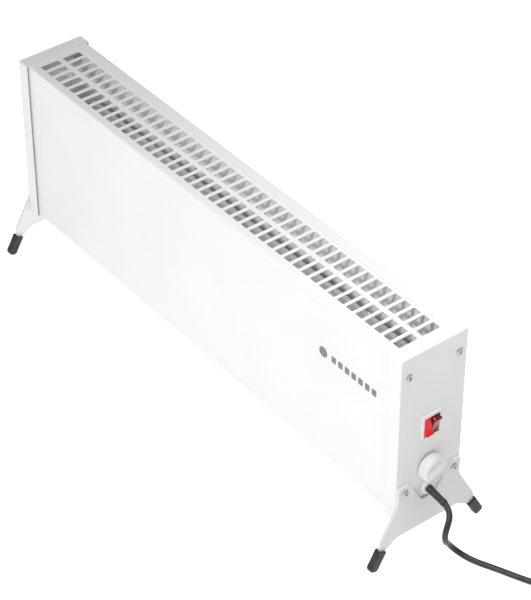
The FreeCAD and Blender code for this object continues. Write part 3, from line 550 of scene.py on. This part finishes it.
def foot_tip(name, end_sign, side_sign):
    """Moulded rubber shoe: dipped mouth round the leg, round end worn flat on the floor."""
    along = Vector((math.cos(LEG_LEAN), -math.sin(LEG_LEAN)))
    aside = Vector((math.sin(LEG_LEAN), math.cos(LEG_LEAN)))
    rings = []
    for s, half_w, half_t, corner, dipped in tip_sections():
        ring = []
        for across, through in rounded_ring(half_w, half_t, corner, TIP_RING_POINTS):
            place = MOUTH + along * (s + dipped * mouth_dip(across)) + aside * across
            ring.append(Vector((end_sign * (TIP_MID + through) + CASING_SHIFT, side_sign * place.x,
                                max(place.y, 0.0))))
        rings.append(ring)
    return rings_piece(name, rings, close_start=False, smooth_angle=50)


def build_feet():
    for end, end_sign in (("right", 1), ("left", -1)):
        for side, side_sign in (("front", -1), ("rear", 1)):
            name = f"foot_tip_{side}_{end}"
            add_piece(foot_tip("shoe_" + name, end_sign, side_sign), "tip_rubber", "casing", name)


# ---- controls ----
KNOB_CENTRE = Vector((CAP_X + CASING_SHIFT, 0, 0.1118))
KNOB_RADIUS = 0.0162
KNOB_BASE = 0.0012
KNOB_LEAN = math.radians(67)            # of the grip bar from upright, at rest
KNOB_SEGMENTS = 144
KNOB_FACE_STEPS = 22
KNOB_ROUND_OVER = 0.0036
KNOB_ROUND_STEPS = 8


def knob_top(y, z):
    """Height of the knob's face over its base plane: a dome, two scooped valleys and the grip bar between."""
    along = y * math.sin(KNOB_LEAN) + z * math.cos(KNOB_LEAN)
    across = -y * math.cos(KNOB_LEAN) + z * math.sin(KNOB_LEAN)
    r = math.hypot(y, z) / KNOB_RADIUS
    dome = 0.0144 - 0.0006 * r ** 2
    edge = 1 - smoothstep((r - 0.70) / 0.30)
    bar = math.exp(-(abs(across) / 0.0043) ** 3)
    scoop = math.exp(-((abs(across) - 0.0072) / 0.0034) ** 2)
    reach = 1 - smoothstep((abs(along) - 0.0070) / 0.0065)
    return dome + (0.0026 * bar - 0.0012 * scoop) * reach * max(edge, 0.25)


def knob_ring(radius, height_of):
    ring = []
    for j in range(KNOB_SEGMENTS):
        a = 2 * math.pi * j / KNOB_SEGMENTS
        y, z = radius * math.cos(a), radius * math.sin(a)
        ring.append(KNOB_CENTRE + Vector((height_of(y, z), y, z)))
    return ring


def thermostat_knob():
    """Soft-edged knob, hollow below round the shaft's nut, with a grip bar blended into its face."""
    shoulder, rim = KNOB_BASE + 0.0098, KNOB_RADIUS - 0.0005
    wall = [(KNOB_BASE + 0.0032, 0.004), (KNOB_BASE + 0.0032, 0.0099), (KNOB_BASE, 0.0100),
            (KNOB_BASE, KNOB_RADIUS - 0.0004), (KNOB_BASE + 0.0004, KNOB_RADIUS),
            (KNOB_BASE + 0.003, KNOB_RADIUS), (KNOB_BASE + 0.006, KNOB_RADIUS - 0.0002), (shoulder, rim)]
    rings = [knob_ring(r, lambda y, z, h=h: h) for h, r in wall]
    for i in range(1, KNOB_ROUND_STEPS + 1):
        a = math.pi / 2 * i / KNOB_ROUND_STEPS
        radius = rim - KNOB_ROUND_OVER * (1 - math.cos(a))
        share = math.sin(a)
        rings.append(knob_ring(radius, lambda y, z, k=share: shoulder + (knob_top(y, z) - shoulder) * k))
    inner = rim - KNOB_ROUND_OVER
    for i in range(1, KNOB_FACE_STEPS):
        rings.append(knob_ring(inner * (1 - i / KNOB_FACE_STEPS), knob_top))
    return rings_piece("knob_moulding", rings, smooth_angle=60)


BEZEL_THICKNESS = 0.0018
PIVOT_DEPTH = 0.0042                    # below the bezel's face
PIVOT = Vector((CAP_X + BEZEL_THICKNESS - PIVOT_DEPTH + CASING_SHIFT, 0, 0.1686))
KEY_SIDES = {"front": (-0.0101, -0.0004), "rear": (0.0004, 0.0101)}
KEY_TILT = {"front": math.radians(-16), "rear": math.radians(16)}
KEY_HALF_HEIGHT = 0.0111
KEY_EASE = 0.0006                       # radius of the rounding along a key's sides
KEY_FACE_STEPS = 18


def key_profile():
    """Side view of a level key, as (outwards, up): a dished face, rounded ends and a narrow root."""
    half, outer, valley, corner = KEY_HALF_HEIGHT, 0.0063, 0.0050, 0.0009
    face = []
    for i in range(KEY_FACE_STEPS + 1):
        u = (half - corner) * (1 - 2 * i / KEY_FACE_STEPS)
        face.append((valley + (outer - valley) * (u / half) ** 2, u))
    top_end = [(outer - corner + corner * math.sin(a), half - corner + corner * math.cos(a))
               for a in (0.2, 0.6, 1.0, 1.4)]
    low_end = [(w, -u) for w, u in reversed(top_end)]
    root = [(-0.0018, -0.0104), (-0.0028, -0.0092), (-0.0040, -0.003), (-0.0040, 0.003), (-0.0028, 0.0092),
            (-0.0018, 0.0104)]
    return top_end + face[1:-1] + low_end + root


def key_slices(y0, y1):
    """(place across the key, how far its outline is drawn in there), rounded at both sides."""
    eased = []
    for share in (0.0, 0.12, 0.35, 0.65, 1.0):
        a = math.pi / 2 * share
        eased.append((y0 + KEY_EASE * (1 - math.cos(a)), KEY_EASE * (1 - math.sin(a))))
    middle = [(y0 + (y1 - y0) * t, 0.0) for t in (0.3, 0.5, 0.7)]
    return eased + middle + [(y0 + y1 - y, inset) for y, inset in reversed(eased)]


def rocker_key(side):
    tilt = KEY_TILT[side]
    profile = key_profile()
    rings = []
    for y, inset in key_slices(*KEY_SIDES[side]):
        ring = []
        for w, u in profile:
            w, u = w - inset * (1 if w > 0 else 0.5), u * (1 - inset / KEY_HALF_HEIGHT)
            ring.append(PIVOT + Vector((w * math.cos(tilt) + u * math.sin(tilt), y,
                                        u * math.cos(tilt) - w * math.sin(tilt))))
        rings.append(ring)
    return rings_piece(f"{side}_key_moulding", rings, smooth_angle=40)


def build_controls():
    add_piece(thermostat_knob(), "knob_plastic", "thermostat_dial", "thermostat_knob")
    add_piece(rocker_key("front"), "red_key", "front_rocker", "rocker_key_front", finish="lit_key")
    add_piece(rocker_key("rear"), "red_key", "rear_rocker", "rocker_key_rear")


# ---- camera, floor and light ----
def build_camera():
    camera = bpy.data.objects.new("camera", bpy.data.cameras.new("camera"))
    SCENE.collection.objects.link(camera)
    az, el = CAMERA_AZIMUTH, CAMERA_ELEVATION
    back = Vector((math.sin(az) * math.cos(el), -math.cos(az) * math.cos(el), math.sin(el)))
    camera.location = CAMERA_TARGET + back * CAMERA_DISTANCE
    camera.rotation_euler = back.to_track_quat("Z", "Y").to_euler()
    camera.data.lens = CAMERA_LENS
    camera.data.sensor_width = 36.0
    camera.data.clip_end = 50.0
    SCENE.camera = camera


def area_light(name, place, target, size, power):
    light = bpy.data.lights.new(name, "AREA")
    light.shape = "RECTANGLE"
    light.size, light.size_y = size
    light.energy = power
    lamp = bpy.data.objects.new(name, light)
    SCENE.collection.objects.link(lamp)
    lamp.location = place
    lamp.rotation_euler = (Vector(place) - Vector(target)).to_track_quat("Z", "Y").to_euler()


def floor_paper():
    """White paper that is bright in its own right, as a lit studio sweep is."""
    m = Material("floor_paper", (0.60, 0.60, 0.60), 0.9,
                 Emission_Color=(1.0, 1.0, 1.0, 1.0), Emission_Strength=FLOOR_GLOW)
    m.tint(m.noise(2.0, 2.0), (0.58, 0.58, 0.58), 0.3, 0.8)
    m.bump(m.noise(300.0, 2.0), 0.0001, 0.2)
    return m.material


def build_stage():
    half = FLOOR_HALF
    floor = mesh_piece("floor", [(-half, -half, 0), (half, -half, 0), (half, half, 0), (-half, half, 0)],
                       [(0, 1, 2, 3)])
    floor.data.materials.append(floor_paper())
    world = bpy.data.worlds.new("studio")
    world.use_nodes = True
    world.node_tree.nodes["Background"].inputs["Color"].default_value = (1.0, 1.0, 1.0, 1.0)
    world.node_tree.nodes["Background"].inputs["Strength"].default_value = WORLD_STRENGTH
    SCENE.world = world
    for name, light in LIGHTS.items():
        area_light(name, *light)
    SCENE.view_settings.view_transform = "Standard"


build_camera()
build_stage()
dress_cad_nodes()
build_lead()
build_feet()
build_controls()
